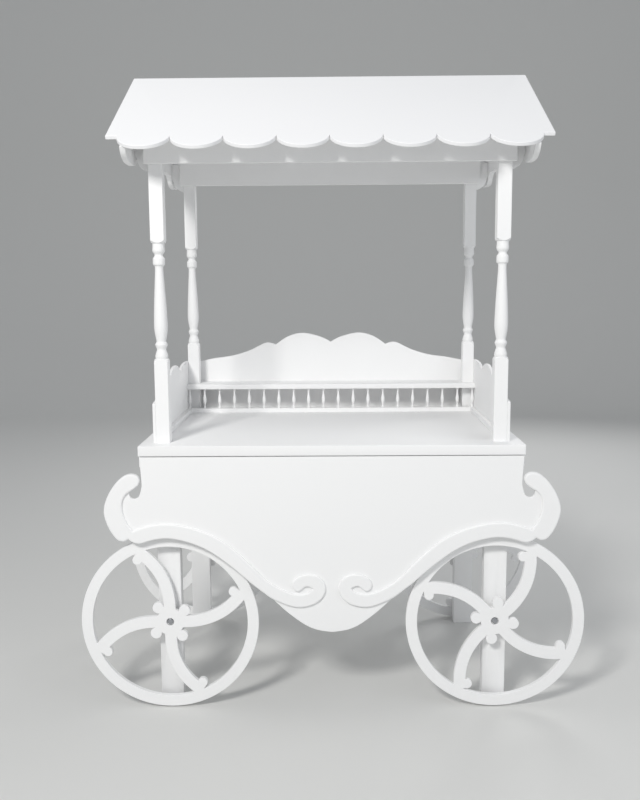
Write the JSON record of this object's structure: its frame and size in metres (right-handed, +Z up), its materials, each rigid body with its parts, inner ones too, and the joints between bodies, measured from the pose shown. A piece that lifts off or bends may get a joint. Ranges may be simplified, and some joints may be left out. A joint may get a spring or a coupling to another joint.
{
  "type": "candy buffet cart",
  "caption": "White painted display cart: counter on legs with decorative spoked wheels, scrolled fronts, raised gallery shelf and scalloped gable roof on turned posts.",
  "frame": {"origin": "on the ground, under the centre of the cart", "axes": "+Z up, +X to the right seen from the front, +Y away from the front, towards the back board"},
  "size_m": [1.696, 1.0666, 2.1619],
  "materials": {
    "painted_board": "satin white paint on board",
    "painted_roof": "satin white paint on board",
    "turned_wood": "satin white paint on turned wood",
    "steel": "plain zinc plated steel"
  },
  "bodies": {
    "cart": {"leg_front_left": "painted_board", "leg_front_right": "painted_board", "leg_rear_left": "painted_board", "leg_rear_right": "painted_board", "frame_rail_front": "painted_board", "frame_rail_rear": "painted_board", "frame_rail_left": "painted_board", "frame_rail_right": "painted_board", "side_apron_left": "painted_board", "side_apron_right": "painted_board", "hub_bolt_front_left": "steel", "hub_bolt_front_right": "steel", "hub_bolt_rear_left": "steel", "hub_bolt_rear_right": "steel", "hub_spacer_front_left": "steel", "hub_spacer_front_right": "steel", "hub_spacer_rear_left": "steel", "hub_spacer_rear_right": "steel", "front_panel": "painted_board", "rear_panel": "painted_board", "front_scroll_left": "painted_board", "front_scroll_right": "painted_board", "rear_scroll_left": "painted_board", "rear_scroll_right": "painted_board", "counter_top": "painted_board", "post_front_left": "turned_wood", "post_front_right": "turned_wood", "post_rear_left": "turned_wood", "post_rear_right": "turned_wood", "side_board_left": "painted_board", "side_board_right": "painted_board", "back_board": "painted_board", "gallery_shelf": "painted_board", "gallery_balustrade": "turned_wood", "skirting_left": "painted_board", "skirting_right": "painted_board", "beam_front": "painted_board", "beam_rear": "painted_board", "gable_rail_left": "painted_board", "gable_rail_right": "painted_board", "gable_panel_left": "painted_board", "gable_panel_right": "painted_board", "bracket_front_left": "painted_board", "bracket_front_right": "painted_board", "bracket_rear_left": "painted_board", "bracket_rear_right": "painted_board", "roof_front": "painted_roof", "roof_rear": "painted_roof", "ridge_beam": "painted_board"},
    "front_left_wheel": {"wheel_front_left": "painted_board"},
    "front_right_wheel": {"wheel_front_right": "painted_board"},
    "rear_left_wheel": {"wheel_rear_left": "painted_board"},
    "rear_right_wheel": {"wheel_rear_right": "painted_board"}
  },
  "joints": [
    {"name": "front_left_wheel_turn", "type": "hinge", "parent": "cart", "child": "front_left_wheel", "pos_m": [-0.548, -0.408, 0.304], "axis": [0, 1, 0], "continuous": true},
    {"name": "front_right_wheel_turn", "type": "hinge", "parent": "cart", "child": "front_right_wheel", "pos_m": [0.548, -0.408, 0.304], "axis": [0, 1, 0], "continuous": true},
    {"name": "rear_left_wheel_turn", "type": "hinge", "parent": "cart", "child": "rear_left_wheel", "pos_m": [-0.548, 0.408, 0.304], "axis": [0, 1, 0], "continuous": true},
    {"name": "rear_right_wheel_turn", "type": "hinge", "parent": "cart", "child": "rear_right_wheel", "pos_m": [0.548, 0.408, 0.304], "axis": [0, 1, 0], "continuous": true}
  ]
}
